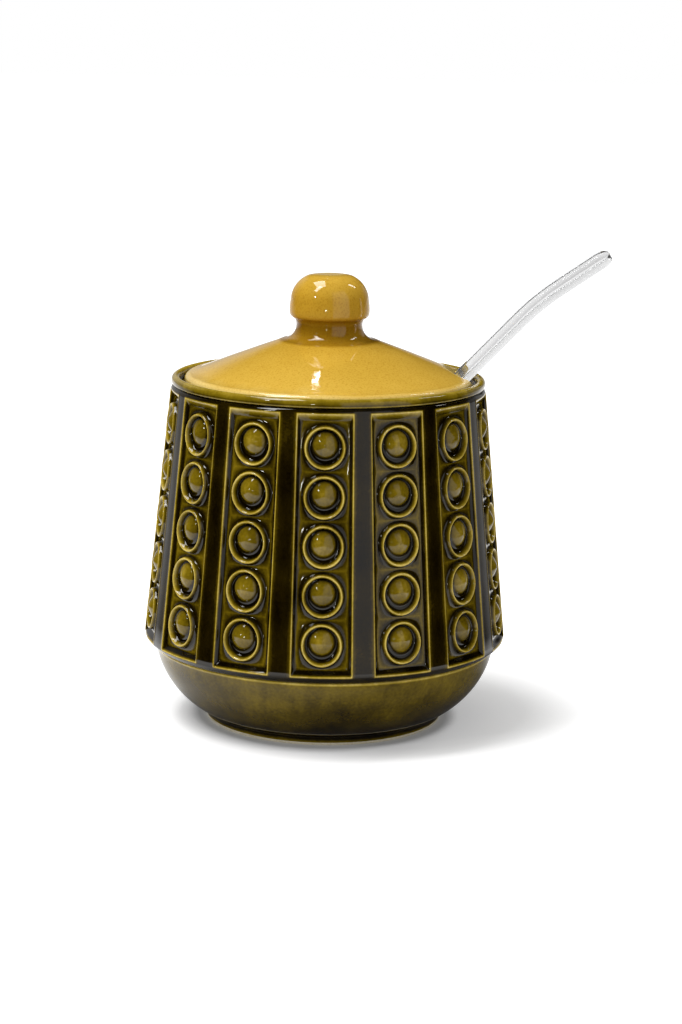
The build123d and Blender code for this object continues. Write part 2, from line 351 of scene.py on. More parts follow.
# %% Sizes of the floor
cell_height = 15.5
floor_top, floor_bottom = 108.6, 30.3
line_half_top, line_half_bottom = 8.85, 9.75  # from the panel's middle to its gold line
side_slope = 1.4  # width of the slope beside the floor
lowest_ring, ring_count = 38.4, 5
ring_stretch = 1.05  # the rings are a little taller than wide
floor_glaze = 0.45


def floor_half(height):
    """Half the floor's width at a height."""
    share = (height - shoulder_height) / (wall_top - shoulder_height)
    return line_half_bottom + (line_half_top - line_half_bottom) * share - side_slope


print("floor", round(2 * floor_half(floor_bottom), 2), "mm wide at its foot")

# %% Grow the circle into a cell
bpy.ops.mesh.select_mode(type="VERT")
bpy.ops.mesh.select_all(action="DESELECT")
mesh = bmesh.from_edit_mesh(relief.data)
for vertex in mesh.verts:
    vertex.select = abs(hypot(vertex.co.x, vertex.co.z) / mm - outer_radius) < 0.05
mesh.select_flush(True)
bpy.ops.mesh.extrude_edges_move()
mesh = bmesh.from_edit_mesh(relief.data)
for vertex in mesh.verts:
    if vertex.select:
        grow = max(abs(vertex.co.x), abs(vertex.co.z))
        vertex.co.x *= floor_half(floor_top) * mm / grow
        vertex.co.z *= cell_height / 2 * mm / grow
    else:
        vertex.co.z *= ring_stretch
bmesh.update_edit_mesh(relief.data)
mark_selected(relief, "glaze", floor_glaze)
print("cell", len(mesh.verts), "vertices")

# %% Stack five cells
bpy.ops.mesh.select_all(action="SELECT")
bpy.ops.transform.translate(value=(0, 0, lowest_ring * mm))
for row in range(1, ring_count):
    bpy.ops.mesh.duplicate_move(TRANSFORM_OT_translate={"value": (0, 0, cell_height * mm)})
bpy.ops.mesh.select_all(action="SELECT")
bpy.ops.mesh.remove_doubles(threshold=weld)

mesh = bmesh.from_edit_mesh(relief.data)
edge_x = floor_half(floor_top)
cell_low = lowest_ring - cell_height / 2
cell_high = cell_low + ring_count * cell_height
near = weld / mm  # the same distance in millimetres
for vertex in mesh.verts:
    if vertex.co.z / mm < cell_low + near:
        vertex.co.z = floor_bottom * mm
    if vertex.co.z / mm > cell_high - near:
        vertex.co.z = floor_top * mm
    if abs(vertex.co.y) < 0.1 * weld and abs(vertex.co.x) / mm > edge_x - near:
        vertex.co.x *= floor_half(vertex.co.z / mm) / edge_x
bmesh.update_edit_mesh(relief.data)
print("floor with motifs", len(mesh.verts), "vertices")

# %% [markdown]
# ## The frame and two half ribs
# The floor is framed by four slopes that end in a thin line, where the glaze breaks gold, and
# half a rib on each side completes one fourteenth of the wall. The frame could be a boolean cut
# in a cone, but its line would be razor sharp. Here the floor's border is extruded seven times,
# over the slope, the line and the rib, so the line can stand a little proud and soft. Each new
# row only gets its number first, and all rows are laid on the wall at once.

# %% Steps of the frame
panel_count = 14
half_pitch = pi / panel_count
panel_depth = 2.0
line_step, line_proud = 3, 0.22  # the step that makes the gold line, and how far it stands out
side_steps = [0.0, 0.30, 0.95, side_slope, side_slope + 0.35]  # out from the floor's edge
rise_shares = [0.0, 0.04, 0.55, 1.0, 1.0, 1.0, 1.0, 1.0]  # from the floor up to the ribs
frame_glaze = [0.8, 0.95, 0.85, 0.0, 0.65, 0.85, 0.88, 0.88]
# Paler on the top slope: a painted reflection of the floor, which that slope faces.
top_glaze_and_reflection = [0.8, 0.62, 0.34, 0.0, 0.8, 0.9, 0.95, 1.0]
bottom_glaze = [0.8, 0.95, 0.95, 0.0, 0.9, 0.95, 0.9, 0.8]
# Height and radius of the rows above and below. With no radius, the row is on the leaning wall.
top_ends = [(floor_top + rise, None) for rise in (0, 0.2, 1.4)] + [
    (111.1, 52.03), (111.45, 51.9), (111.9, 51.7), (112.4, 51.3), (112.8, 50.4),
]
bottom_ends = [(floor_bottom - drop, None) for drop in (0, 0.2, 1.1)] + [
    (28.3, 60.25), (27.85, 60.1), (26.6, 58.8), (25.55, 57.35), (25.2, 56.4),
]
print("steps", len(rise_shares) - 1, "and half a panel", round(180 / panel_count, 2), "degrees")

# %% Extrude the frame and the ribs
def select_border(test):
    """Selects the border edges whose two ends pass a test."""
    mesh = bmesh.from_edit_mesh(relief.data)
    for part in (mesh.verts, mesh.edges, mesh.faces):
        for item in part:
            item.select = False
    for edge in mesh.edges:
        if edge.is_boundary and all(test(end) for end in edge.verts):
            edge.select = True
            for end in edge.verts:
                end.select = True
    bmesh.update_edit_mesh(relief.data)


def on_side(end):
    """Whether a point is on the left or right edge of the floor."""
    return abs(abs(end.co.x) / mm - floor_half(end.co.z / mm)) < 2 * near


bpy.ops.mesh.select_mode(type="EDGE")
select_border(on_side)
for step in range(1, len(rise_shares)):
    bpy.ops.mesh.extrude_edges_move()
    mark_selected(relief, "column", step)
for ends, sign in ((top_ends, 1), (bottom_ends, -1)):
    start = ends[0][0] * mm
    select_border(lambda end: abs(end.co.z - start) < 2 * weld)
    for step in range(1, len(ends)):
        bpy.ops.mesh.extrude_edges_move()
        mark_selected(relief, "level", step * sign)
print("frame", len(bmesh.from_edit_mesh(relief.data).verts), "vertices")

# %% Rules for laying a point on the wall
def frame_half(column, height, radius):
    """Distance of a column of the frame from the panel's middle."""
    edge = floor_half(height)
    if column < len(side_steps):
        return edge + side_steps[column]
    line_foot = edge + side_steps[-1]
    share = (column - len(side_steps) + 1) / (len(rise_shares) - len(side_steps))
    return line_foot + (radius * sin(half_pitch) - line_foot) * share


def wall_place(across, height, out, column, level):
    """Place on the wall of a point of the flat panel, by its numbers in the frame."""
    radius = None
    if level:
        height, radius = (top_ends if level > 0 else bottom_ends)[abs(level)]
    radius = radius or wall_radius(height)
    if column:
        width = frame_half(column, height, radius)
        across = width if across > 0 else -width
    frame_step = max(column, abs(level))
    if frame_step == line_step:
        radius += line_proud
    rise = rise_shares[frame_step]
    floor_reach = wall_radius(height) - panel_depth + out
    reach = rise * sqrt(radius**2 - across**2) + (1 - rise) * floor_reach
    return Vector((across, -reach, height)) * mm


def frame_value(column, level):
    """Glaze value of a point of the frame, with a painted reflection on the top slope."""
    if level and abs(level) >= column:
        return (top_glaze_and_reflection if level > 0 else bottom_glaze)[abs(level)]
    return frame_glaze[max(column, abs(level))]


# %% Lay the panel on the wall
mesh = bmesh.from_edit_mesh(relief.data)
glaze_layer, columns, levels = (read_layer(mesh, name) for name in ("glaze", "column", "level"))
for vertex in mesh.verts:
    column, level = round(vertex[columns]), round(vertex[levels])
    if column or level:
        vertex[glaze_layer] = frame_value(column, level)
    across, height, out = vertex.co.x / mm, vertex.co.z / mm, -vertex.co.y / mm
    vertex.co = wall_place(across, height, out, column, level)
bmesh.update_edit_mesh(relief.data)
print("panel reaches out to", round(-min(vertex.co.y for vertex in mesh.verts) / mm, 2), "mm")

# %% [markdown]
# ## The sleeve of fourteen panels
# One panel is turned round the axis thirteen more times. An Array modifier with an empty as its
# offset could do that too, but copies made in edit mode can be merged at once, so the ribs have
# no seam. A plain back wall closes the sleeve, and one level of subdivision rounds every row.

# %% Copy the panel round the pot
bpy.ops.mesh.select_mode(type="VERT")
bpy.ops.mesh.select_all(action="SELECT")
for place in range(1, panel_count):
    bpy.ops.mesh.duplicate_move()
    bpy.ops.transform.rotate(value=2 * half_pitch, orient_axis="Z", center_override=(0, 0, 0))
bpy.ops.mesh.select_all(action="SELECT")
bpy.ops.mesh.remove_doubles(threshold=2 * weld)
print("sleeve", len(bmesh.from_edit_mesh(relief.data).verts), "vertices")

# %% Close the sleeve and smooth it
back_thickness = 5
back_rows = [(48.6, 112.0), (wall_radius(shoulder_height) - back_thickness, 26.4)]
bpy.ops.mesh.select_mode(type="EDGE")
select_border(lambda end: end.co.z / mm > wall_top)
for back_radius, back_height in back_rows:
    bpy.ops.mesh.extrude_edges_move()
    mesh = bmesh.from_edit_mesh(relief.data)
    for vertex in selected(mesh):
        scale = back_radius * mm / hypot(vertex.co.x, vertex.co.y)
        vertex.co = (vertex.co.x * scale, vertex.co.y * scale, back_height * mm)
    bmesh.update_edit_mesh(relief.data)
select_border(lambda end: True)
bpy.ops.mesh.bridge_edge_loops()
bpy.ops.mesh.select_all(action="SELECT")
bpy.ops.mesh.normals_make_consistent(inside=False)
mesh = bmesh.from_edit_mesh(relief.data)
print("open edges left:", sum(edge.is_boundary for edge in mesh.edges))
bpy.ops.object.mode_set(mode="OBJECT")

pick_only(relief)
smoother = relief.modifiers.new("smooth", "SUBSURF")
smoother.levels = smoother.render_levels = 1
bpy.ops.object.modifier_apply(modifier="smooth")
bpy.ops.object.shade_smooth()
print("relief", sum(len(face.vertices) - 2 for face in relief.data.polygons), "triangles")

# %% [markdown]
# ## Lid and knob
# The lid is thrown in one piece with its knob: a flat cone with a rounded edge, a waisted neck
# and a round knob with a flattened top. It is turned like the body. The round bite is cut
# afterwards with a cylinder, because a potter also cuts it from the turned lid.

# %% Turn the lid
lid_low, lid_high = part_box("lid")
lid_seat, knob_top = lid_low[2] / mm, lid_high[2] / mm
lid_radius = 47.5
hollow_top = 125.15
lid_rows = [
    (0, hollow_top, 0.6),
    (10.5, hollow_top, 0.6),
    (41.2, lid_seat, 0.5),
    *beside(lid_radius, lid_seat, [(-0.4, 0, 0.2), (0, 0.4, 0.05, -0.12, 3), (0, 1.3, 0.05)]),
    (lid_radius - 2.4, 116.05, 0.2, -0.5, 7),
    (17.2, 126.9, 0.42, -0.12, 10),  # the cone
    (15.9, 127.45, 0.8),
    (10.95, 132.3, 0.95, 1.45, 9),  # the neck
    (11.9, 134.7, 1.0, 0.3, 5),
    (13.2, 136.1, 0.5, -0.22, 5),  # the knob
    (12.95, 140.6, 0.58, -0.14, 5),
    (7.2, knob_top - 0.35, 0.34, -1.45, 10),
    (3.6, knob_top, 0.12, -0.1, 4),
    (0, knob_top, 0.15),
]
lid_steps = 160

jar_lid = draw_outline("jar_lid", outline(lid_rows))
turn_outline(jar_lid, lid_steps)

# %% Cut the bite
bite_azimuth = radians(6)
bite_radius, bite_depth = 14.0, 9.9
bite_reach = lid_radius - bite_depth + bite_radius
cutter_length, cutter_height = 30, 118
cutter_place = (
    bite_reach * cos(bite_azimuth) * mm, bite_reach * sin(bite_azimuth) * mm, cutter_height * mm,
)
bpy.ops.object.select_all(action="DESELECT")
bpy.ops.mesh.primitive_cylinder_add(
    vertices=128, radius=bite_radius * mm, depth=cutter_length * mm, location=cutter_place
)
cutter = bpy.context.object
pick_only(jar_lid)
cut = jar_lid.modifiers.new("bite", "BOOLEAN")
cut.operation, cut.object, cut.solver = "DIFFERENCE", cutter, "EXACT"
bpy.ops.object.modifier_apply(modifier="bite")
bpy.data.objects.remove(cutter)
bpy.ops.object.shade_smooth_by_angle(angle=radians(45))
print("lid", len(jar_lid.data.polygons), "faces")

# %% [markdown]
# ## Spoon
# The spoon is moulded in one piece from clear plastic: an oval dish and a flat handle with
# rounded edges that bends over near its end. It is drawn lying along X with its tip at the
# origin, where its sizes are easy to read, and then laid in its place in the jar. The handle
# could be a curve with a bevel, but extruding one section lets its width grow and its end round.

# %% Sections of the handle
shank_thickness = 2.5
bend_start, bend_radius, bend_angle, bend_chords = 158.6, 72.0, radians(12.8), 6
bend_width, bend_widening = 8.1, 0.04
handle_end, tip_radius = 20.4, 4.3
tip_turns = [0, 25, 45, 60, 72, 81]
sections = [
    # distance along, height, turn, width
    (34.7, 0, 0, 5.6),
    (41, 0, 0, 5.6),
    (131.6, 0, 0, 7.6),
    (bend_start, 0, 0, bend_width),
]
for step in range(1, bend_chords + 1):
    turn = bend_angle * step / bend_chords
    along, drop = bend_start + bend_radius * sin(turn), bend_radius * (cos(turn) - 1)
    sections.append((along, drop, turn, bend_width + bend_widening * step))
bend_end = sections[-1]
for turn in tip_turns:
    along = handle_end - tip_radius + tip_radius * sin(radians(turn))
    sections.append((
        bend_end[0] + along * cos(bend_angle),
        bend_end[1] - along * sin(bend_angle),
        bend_angle,
        2 * tip_radius * cos(radians(turn)),
    ))
print("handle", len(sections), "sections,", round(sections[-1][0], 1), "mm long with the dish")

# %% Draw the handle
bpy.ops.object.select_all(action="DESELECT")
bpy.ops.mesh.primitive_plane_add(size=mm, rotation=(0, pi / 2, 0))
spoon = bpy.context.object
spoon.name = spoon.data.name = "serving_spoon"
bpy.ops.object.transform_apply(location=True, rotation=True, scale=True)
bpy.ops.object.mode_set(mode="EDIT")


def set_section(section):
    """Moves the four selected corners to one section of the handle."""
    along, height, turn, width = section
    mesh = bmesh.from_edit_mesh(spoon.data)
    chosen = selected(mesh)
    centre = sum((vertex.co for vertex in chosen), Vector()) / len(chosen)
    for vertex in chosen:
        side = 1 if vertex.co.y > centre.y else -1
        up = 1 if (vertex.co - centre).dot(Vector((sin(turn), 0, cos(turn)))) > 0 else -1
        half = shank_thickness / 2 * up
        vertex.co = Vector((
            along + half * sin(turn), side * width / 2, height + half * cos(turn),
        )) * mm
    bmesh.update_edit_mesh(spoon.data)


set_section(sections[0])
for section in sections[1:]:
    bpy.ops.mesh.extrude_region_move()
    set_section(section)
bpy.ops.mesh.select_all(action="SELECT")
bpy.ops.mesh.normals_make_consistent(inside=False)
bpy.ops.object.mode_set(mode="OBJECT")
print("square handle", len(spoon.data.polygons), "faces")

# %% Round edges
def round_edges(piece, width, segments, sharp_angle):
    """Bevels the edges of a piece that are sharper than an angle in degrees."""
    pick_only(piece)
    bevel = piece.modifiers.new("round", "BEVEL")
    bevel.width, bevel.segments, bevel.limit_method = width * mm, segments, "ANGLE"
    bevel.angle_limit = radians(sharp_angle)
    bpy.ops.object.modifier_apply(modifier="round")


round_edges(spoon, 0.8, 4, 35)
print("rounded handle", len(spoon.data.polygons), "faces")

# %% [markdown]
# ## Dish of the spoon
# The dish is the lower half of an oval ball with a thin wall. One ball could be cut out of
# another, but the wall would then be uneven. Here a sphere is flattened and cut in half, and
# Solidify grows an even wall inwards. A union with the handle makes it one moulding, because
# inner faces would show through clear plastic.

# %% Draw the dish
dish_length, dish_width, dish_depth, dish_skin = 36.0, 24.0, 8.0, 1.8
rim = (dish_length / 2 * mm, 0, shank_thickness / 2 * mm)
bpy.ops.object.select_all(action="DESELECT")
bpy.ops.mesh.primitive_uv_sphere_add(
    segments=64, ring_count=32, radius=dish_length / 2 * mm, location=rim, rotation=(0, pi / 2, 0)
)
dish = bpy.context.object
bpy.ops.object.transform_apply(location=True, rotation=True, scale=True)
bpy.ops.object.mode_set(mode="EDIT")
flatten = (1, dish_width / dish_length, 2 * dish_depth / dish_length)
bpy.ops.transform.resize(value=flatten, center_override=rim)
bpy.ops.mesh.bisect(plane_co=rim, plane_no=(0, 0, 1), clear_outer=True)
bpy.ops.mesh.select_all(action="SELECT")
bpy.ops.mesh.remove_doubles(threshold=weld)
bpy.ops.mesh.normals_make_consistent(inside=False)
bpy.ops.object.mode_set(mode="OBJECT")
pick_only(dish)
wall = dish.modifiers.new("wall", "SOLIDIFY")
wall.thickness, wall.offset = dish_skin * mm, -1
bpy.ops.object.modifier_apply(modifier="wall")
round_edges(dish, 0.5, 3, 50)
print("dish", len(dish.data.polygons), "faces")

# %% Join the dish to the handle
pick_only(spoon)
join = spoon.modifiers.new("join", "BOOLEAN")
join.operation, join.object, join.solver = "UNION", dish, "EXACT"
bpy.ops.object.modifier_apply(modifier="join")
bpy.data.objects.remove(dish)
print("spoon", len(spoon.data.polygons), "faces")

# %% Lay the spoon in the jar
draw_joint = next(joint for joint in frame["joints"] if joint["name"] == "spoon_draw")
shank_way = Vector(draw_joint["axis"]).normalized()
toe = Vector((-46.992, -4.939, 21.346)) * mm  # the dish's tip, near the inside of the wall
roll = radians(15)  # the flat of the handle is turned this far about the shank
across_way = shank_way.cross(Vector((0, 0, 1))).normalized()
level_top = across_way.cross(shank_way).normalized()
top_way = level_top * cos(roll) + across_way * sin(roll)
side_way = top_way.cross(shank_way)
spoon_turn = Matrix((shank_way, side_way, top_way)).transposed().to_4x4()
spoon.matrix_world = Matrix.Translation(toe) @ spoon_turn
bpy.ops.object.transform_apply(location=True, rotation=True, scale=True)
bpy.ops.object.mode_set(mode="EDIT")
bpy.ops.mesh.select_all(action="SELECT")
bpy.ops.mesh.remove_doubles(threshold=weld / 2)
bpy.ops.mesh.normals_make_consistent(inside=False)
bpy.ops.object.mode_set(mode="OBJECT")
bpy.ops.object.shade_smooth_by_angle(angle=radians(40))

# %% [markdown]
# ## Flecks, streaks and ripples for both glazes
# Both glazes are fired with iron in them, so they are finely flecked, and both lie a little
# uneven on the clay and run down in faint streaks. The effect could be built twice, but a node
# group with named inputs keeps one recipe, and each glaze sets its own sizes.

# %% Node group for fired glaze
def fired_glaze_group():
    """Outputs four noises: flecks, a slow drift, a ripple height, and upright streaks."""
    group = bpy.data.node_groups.new("Fired glaze", "ShaderNodeTree")
    kind = "NodeSocketFloat"
    for name, scale in (("Fleck", 1500), ("Drift", 90), ("Ripple", 60), ("Streak", 200)):
        socket = group.interface.new_socket(name + " scale", in_out="INPUT", socket_type=kind)
        socket.default_value = scale
        group.interface.new_socket(name, in_out="OUTPUT", socket_type=kind)
    nodes, links = group.nodes, group.links
    entry, exit_node = nodes.new("NodeGroupInput"), nodes.new("NodeGroupOutput")
    place = nodes.new("ShaderNodeTexCoord")
    stretch = nodes.new("ShaderNodeMapping")
    stretch.inputs["Scale"].default_value = (1, 1, 0.12)
    links.new(place.outputs["Object"], stretch.inputs["Vector"])
    even, upright = place.outputs["Object"], stretch.outputs["Vector"]
    for name, detail, spot in (
        ("Fleck", 2, even), ("Drift", 3, even), ("Ripple", 1, even), ("Streak", 2, upright),
    ):
        noise = nodes.new("ShaderNodeTexNoise")
        noise.inputs["Detail"].default_value = detail
        links.new(spot, noise.inputs["Vector"])
        links.new(entry.outputs[name + " scale"], noise.inputs["Scale"])
        links.new(noise.outputs["Fac"], exit_node.inputs[name])
    return group


fired_glaze = fired_glaze_group()
print("group", fired_glaze.name, [item.name for item in fired_glaze.interface.items_tree])

# %% [markdown]
# ## Small tools for nodes
# A node takes three lines or more to add and join. The kinds that come again and again get a
# function each, which hands back the node's output, so that a material below reads like a sum.

# %% Tools for nodes
def feed(tree, node, values):
    """Sets inputs of a node, by name or number, or joins other nodes' outputs to them."""
    for name, value in values.items():
        if isinstance(value, bpy.types.NodeSocket):
            tree.links.new(value, node.inputs[name])
        else:
            node.inputs[name].default_value = value


def add_math(tree, operation, *values):
    """A Math node."""
    node = tree.nodes.new("ShaderNodeMath")
    node.operation = operation
    feed(tree, node, dict(enumerate(values)))
    return node.outputs["Value"]


def add_ramp(tree, fac, stops):
    """A ColorRamp with (place, colour) stops."""
    ramp = tree.nodes.new("ShaderNodeValToRGB")
    elements = ramp.color_ramp.elements
    while len(elements) < len(stops):
        elements.new(0.5)
    for element, (place, colour) in zip(elements, stops):
        element.position = place
        element.color = (*colour, 1)
    tree.links.new(fac, ramp.inputs["Fac"])
    return ramp.outputs["Color"]


def new_material(name):
    """A new material, its node tree and its Principled shader."""
    material = bpy.data.materials.new(name)
    material.use_nodes = True
    tree = material.node_tree
    shader = next(node for node in tree.nodes if node.type == "BSDF_PRINCIPLED")
    return material, tree, shader


# %% Tools for glazes
def new_glaze(name, scales):
    """A new glaze: material, tree, shader, the glaze value of the mesh and the fired group."""
    material, tree, shader = new_material(name)
    thickness = tree.nodes.new("ShaderNodeAttribute")
    thickness.attribute_name = "glaze"
    fired = tree.nodes.new("ShaderNodeGroup")
    fired.node_tree = fired_glaze
    for noise, scale in scales.items():
        fired.inputs[noise + " scale"].default_value = scale
    return material, tree, shader, thickness.outputs["Fac"], fired.outputs


def add_swing(tree, value, noise, swing):
    """A value with a noise added that swings it up and down by half of the swing."""
    centred = add_math(tree, "MULTIPLY_ADD", noise, swing, -swing / 2)
    return add_math(tree, "ADD", value, centred)


def add_bump(tree, shader, height, strength, distance):
    """A Bump node on the shader's normal."""
    bump = tree.nodes.new("ShaderNodeBump")
    feed(tree, bump, {"Strength": strength, "Distance": distance * mm, "Height": height})
    feed(tree, shader, {"Normal": bump.outputs["Normal"]})


# %% [markdown]
# ## Olive glaze
# The pot's glaze is a dark olive brown that breaks to gold wherever it runs thin: on the rings,
# on the thin lines and on the lip. The glaze value on the mesh says where that is. A pointiness
# node could guess it from the mesh, but it changes with the mesh's density, and the export
# can't read it, so the value is drawn with the rows instead.

# %% Olive glaze
def olive_glaze():
    """Dark olive where it pools, gold where it is thin."""
    scales = {"Fleck": 1100, "Drift": 70, "Ripple": 110, "Streak": 260}
    material, tree, shader, thickness, fired = new_glaze("olive glaze", scales)
    varied = add_swing(tree, thickness, fired["Drift"], 0.5)
    varied = add_swing(tree, varied, fired["Fleck"], 0.22)
    varied = add_swing(tree, varied, fired["Streak"], 0.24)
    colour = add_ramp(tree, varied, [
        (0.00, (0.72, 0.55, 0.13)),
        (0.14, (0.44, 0.31, 0.035)),
        (0.36, (0.21, 0.143, 0.005)),
        (0.58, (0.080, 0.053, 0.0015)),
        (0.80, (0.018, 0.011, 0.0005)),
        (1.00, (0.004, 0.0022, 0.0002)),
    ])
    feed(tree, shader, {"Base Color": colour, "Roughness": 0.06, "IOR": 1.47})
    add_bump(tree, shader, fired["Ripple"], 0.12, 0.6)
    return material


pot_glaze = olive_glaze()
print(pot_glaze.name, len(pot_glaze.node_tree.nodes), "nodes")

# %% [markdown]
# ## Mustard glaze
# The lid has the same kind of glaze in mustard yellow, paler on the edge and amber where it
# pools round the knob's neck, with fine brown flecks. It reuses the node group with finer
# flecks, and a threshold on the fleck noise leaves only separate specks.

# %% Mustard glaze
def mustard_glaze():
    """Mustard with brown flecks, amber in the hollows."""
    scales = {"Fleck": 1700, "Drift": 55, "Ripple": 90}
    material, tree, shader, thickness, fired = new_glaze("mustard glaze", scales)
    varied = add_swing(tree, thickness, fired["Drift"], 0.3)
    colour = add_ramp(tree, varied, [
        (0.00, (0.90, 0.70, 0.25)),
        (0.20, (0.71, 0.445, 0.064)),
        (0.55, (0.55, 0.315, 0.026)),
        (1.00, (0.26, 0.125, 0.002)),
    ])
    specks = add_ramp(tree, fired["Fleck"], [
        (0.30, (0.84, 0.76, 0.60)),
        (0.52, (1, 1, 1)),
    ])
    speckled = tree.nodes.new("ShaderNodeMix")
    speckled.data_type, speckled.blend_type = "RGBA", "MULTIPLY"
    feed(tree, speckled, {"Factor": 1, "A": colour, "B": specks})
    colour = speckled.outputs["Result"]
    feed(tree, shader, {"Base Color": colour, "Roughness": 0.035, "IOR": 1.5})
    add_bump(tree, shader, fired["Ripple"], 0.2, 0.5)
    return material


lid_glaze = mustard_glaze()
print(lid_glaze.name, len(lid_glaze.node_tree.nodes), "nodes")

# %% [markdown]
# ## Bare clay and clear plastic
# The foot ring is left unglazed, so that the pot doesn't stick to the kiln shelf, and shows the
# pale sandy clay. The spoon is colourless clear plastic: a Principled shader with the plastic's
# own index of refraction and nearly full transmission. The small rest is the faint milkiness of
# moulded plastic. A Glass shader would do without it, but the export reads Principled best.

# %% Bare clay
def bare_clay():
    """Pale, dry and sandy."""
    material, tree, shader = new_material("bare clay")
    place = tree.nodes.new("ShaderNodeTexCoord")
    grain = tree.nodes.new("ShaderNodeTexNoise")
    grain.inputs["Scale"].default_value = 2200
    tree.links.new(place.outputs["Object"], grain.inputs["Vector"])
    colour = add_ramp(tree, grain.outputs["Fac"], [
        (0.3, (0.72, 0.64, 0.46)),
        (0.7, (0.86, 0.80, 0.64)),
    ])
    feed(tree, shader, {"Base Color": colour, "Roughness": 0.85})
    return material


foot_clay = bare_clay()
print(foot_clay.name, len(foot_clay.node_tree.nodes), "nodes")

# %% Clear plastic
def add_range(tree, value, low, high, start, end):
    """A Map Range node: low to high becomes start to end, and it stops there."""
    node = tree.nodes.new("ShaderNodeMapRange")
    limits = {"From Min": low, "From Max": high, "To Min": start, "To Max": end}
    feed(tree, node, {"Value": value, **limits})
    return node.outputs["Result"]


def clear_plastic():
    """Colourless, with a faint haze of handling."""
    material, tree, shader = new_material("clear plastic")
    place = tree.nodes.new("ShaderNodeTexCoord")
    haze = tree.nodes.new("ShaderNodeTexNoise")
    haze.inputs["Scale"].default_value = 160
    tree.links.new(place.outputs["Object"], haze.inputs["Vector"])
    rough = add_range(tree, haze.outputs["Fac"], 0, 1, 0.02, 0.05)
    feed(tree, shader, {
        "Base Color": (0.994, 0.996, 0.998, 1),
        "Roughness": rough,
        "Transmission Weight": 0.97,
        "IOR": 1.49,
    })
    return material


spoon_plastic = clear_plastic()
print(spoon_plastic.name, len(spoon_plastic.node_tree.nodes), "nodes")

# %% [markdown]
# ## Dressing the pieces
# Each piece gets its material, rides on the body that moves it, and stands for the plain node
# of the working model. The foot's bare ring is part of the turned body, so it isn't a piece of
# its own: the faces that lie low and far out are given the clay as their second material.

# %% Give the materials
foot_ring_width = 5.5
dressing = [
    (pot_body, [pot_glaze, foot_clay]),
    (relief, [pot_glaze]),
    (jar_lid, [lid_glaze]),
    (spoon, [spoon_plastic]),
]
for piece, materials in dressing:
    piece.data.materials.clear()
    for material in materials:
        piece.data.materials.append(material)
for face in pot_body.data.polygons:
    centre = face.center / mm
    if centre.z < glaze_line and hypot(centre.x, centre.y) > foot_radius - foot_ring_width:
        face.material_index = 1
print("clay faces", sum(face.material_index for face in pot_body.data.polygons))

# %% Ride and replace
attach(pot_body, "pot")
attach(relief, "pot")
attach(jar_lid, "lid")
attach(spoon, "spoon")
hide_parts("pot")
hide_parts("pot")
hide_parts("lid")
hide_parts("spoon")

# %% [markdown]
# ## White paper
# The jar stands on white paper that has to read as pure white and still keep the jar's shadow.
# More lamps would burn out the jar before they did that, so the paper gives light of its own.
# Only the camera sees all of it, and it fades towards the jar: a wide soft shade, moved a little
# to the right, and a narrow dark one where the foot touches. The lamps' own shadow adds to it.

# %% Add the paper
bpy.ops.object.select_all(action="DESELECT")
bpy.ops.mesh.primitive_plane_add(size=12, location=(0, 0, 0))
floor = bpy.context.object
floor.name = "floor"
paper, tree, shader = new_material("white paper")
feed(tree, shader, {"Base Color": (0.8, 0.8, 0.8, 1), "Roughness": 1, "Specular IOR Level": 0})
floor.data.materials.append(paper)
print("floor", tuple(floor.dimensions))

# %% Shade round the foot
def distance_from(tree, place, spot):
    """Distance on the paper from a spot, in metres."""
    node = tree.nodes.new("ShaderNodeVectorMath")
    node.operation = "DISTANCE"
    feed(tree, node, {0: place, 1: spot})
    return node.outputs["Value"]


place = tree.nodes.new("ShaderNodeTexCoord").outputs["Object"]
from_jar = distance_from(tree, place, (0, 0, 0))
from_shade = distance_from(tree, place, (0.018, 0.008, 0))
contact = add_range(tree, from_jar, 0.042, 0.060, 0.05, 1.0)
soft_shade = add_range(tree, from_shade, 0.050, 0.105, 0.26, 1.0)
camera_glow = add_math(tree, "MINIMUM", soft_shade, contact)

# %% [markdown]
# ## What the glaze mirrors
# A gloss glaze shows the room around it, and a white room would make this dark one milky. The
# photograph's ribs and rings are black or gold with some grey sheen, so the room was mostly
# dark. It could be built from boards and cloths, but they would stand in other views. Here the
# floor answers glossy rays in its own way: lit paper round the jar and far behind it, dim near
# the foot, a pale board at the front right, and darkness everywhere else.

# %% Directions on the floor
pool_radius = 0.24  # the paper in front and at the sides reaches this far, in metres
split = tree.nodes.new("ShaderNodeSeparateXYZ")
tree.links.new(place, split.inputs["Vector"])
forward = add_math(tree, "MULTIPLY", split.outputs["Y"], -1)
floor_heading = add_math(tree, "ARCTAN2", split.outputs["X"], forward)  # 0 in front of the jar
from_front = add_math(tree, "ABSOLUTE", floor_heading)

# %% Paper, board and dark room
from_dim = distance_from(tree, place, (0.024, -0.010, 0))
behind = add_range(tree, from_front, radians(110), radians(150), 0.0, 1.0)
in_pool = add_range(tree, from_jar, pool_radius - 0.05, pool_radius, 1.0, 0.0)
foot_dim = add_range(tree, from_dim, 0.055, 0.085, 0.3, 1.0)
on_paper = add_math(tree, "MULTIPLY", add_math(tree, "MAXIMUM", behind, in_pool), foot_dim)
gloss_glow = add_range(tree, from_dim, 0.08, 0.14, 0.0, 0.6)
at_board = add_math(tree, "COMPARE", floor_heading, radians(35), radians(25))
past_pool = add_math(tree, "GREATER_THAN", from_jar, pool_radius - 0.03)
board = add_math(tree, "MULTIPLY", at_board, past_pool)

# %% [markdown]
# ## One floor for each kind of ray
# The Light Path node says what kind of ray has met the floor. Camera rays get the glow with the
# jar's shade, and glossy rays the mirrored room. Rays through the spoon see a faint glow, so
# that its edges are grey against the white. All others find plain paper without any glow.

# %% Choose by the kind of ray
def choose(tree, mask, no, yes):
    """A Mix node between two values."""
    node = tree.nodes.new("ShaderNodeMix")
    feed(tree, node, {"Factor": mask, 2: no, 3: yes})
    return node.outputs["Result"]


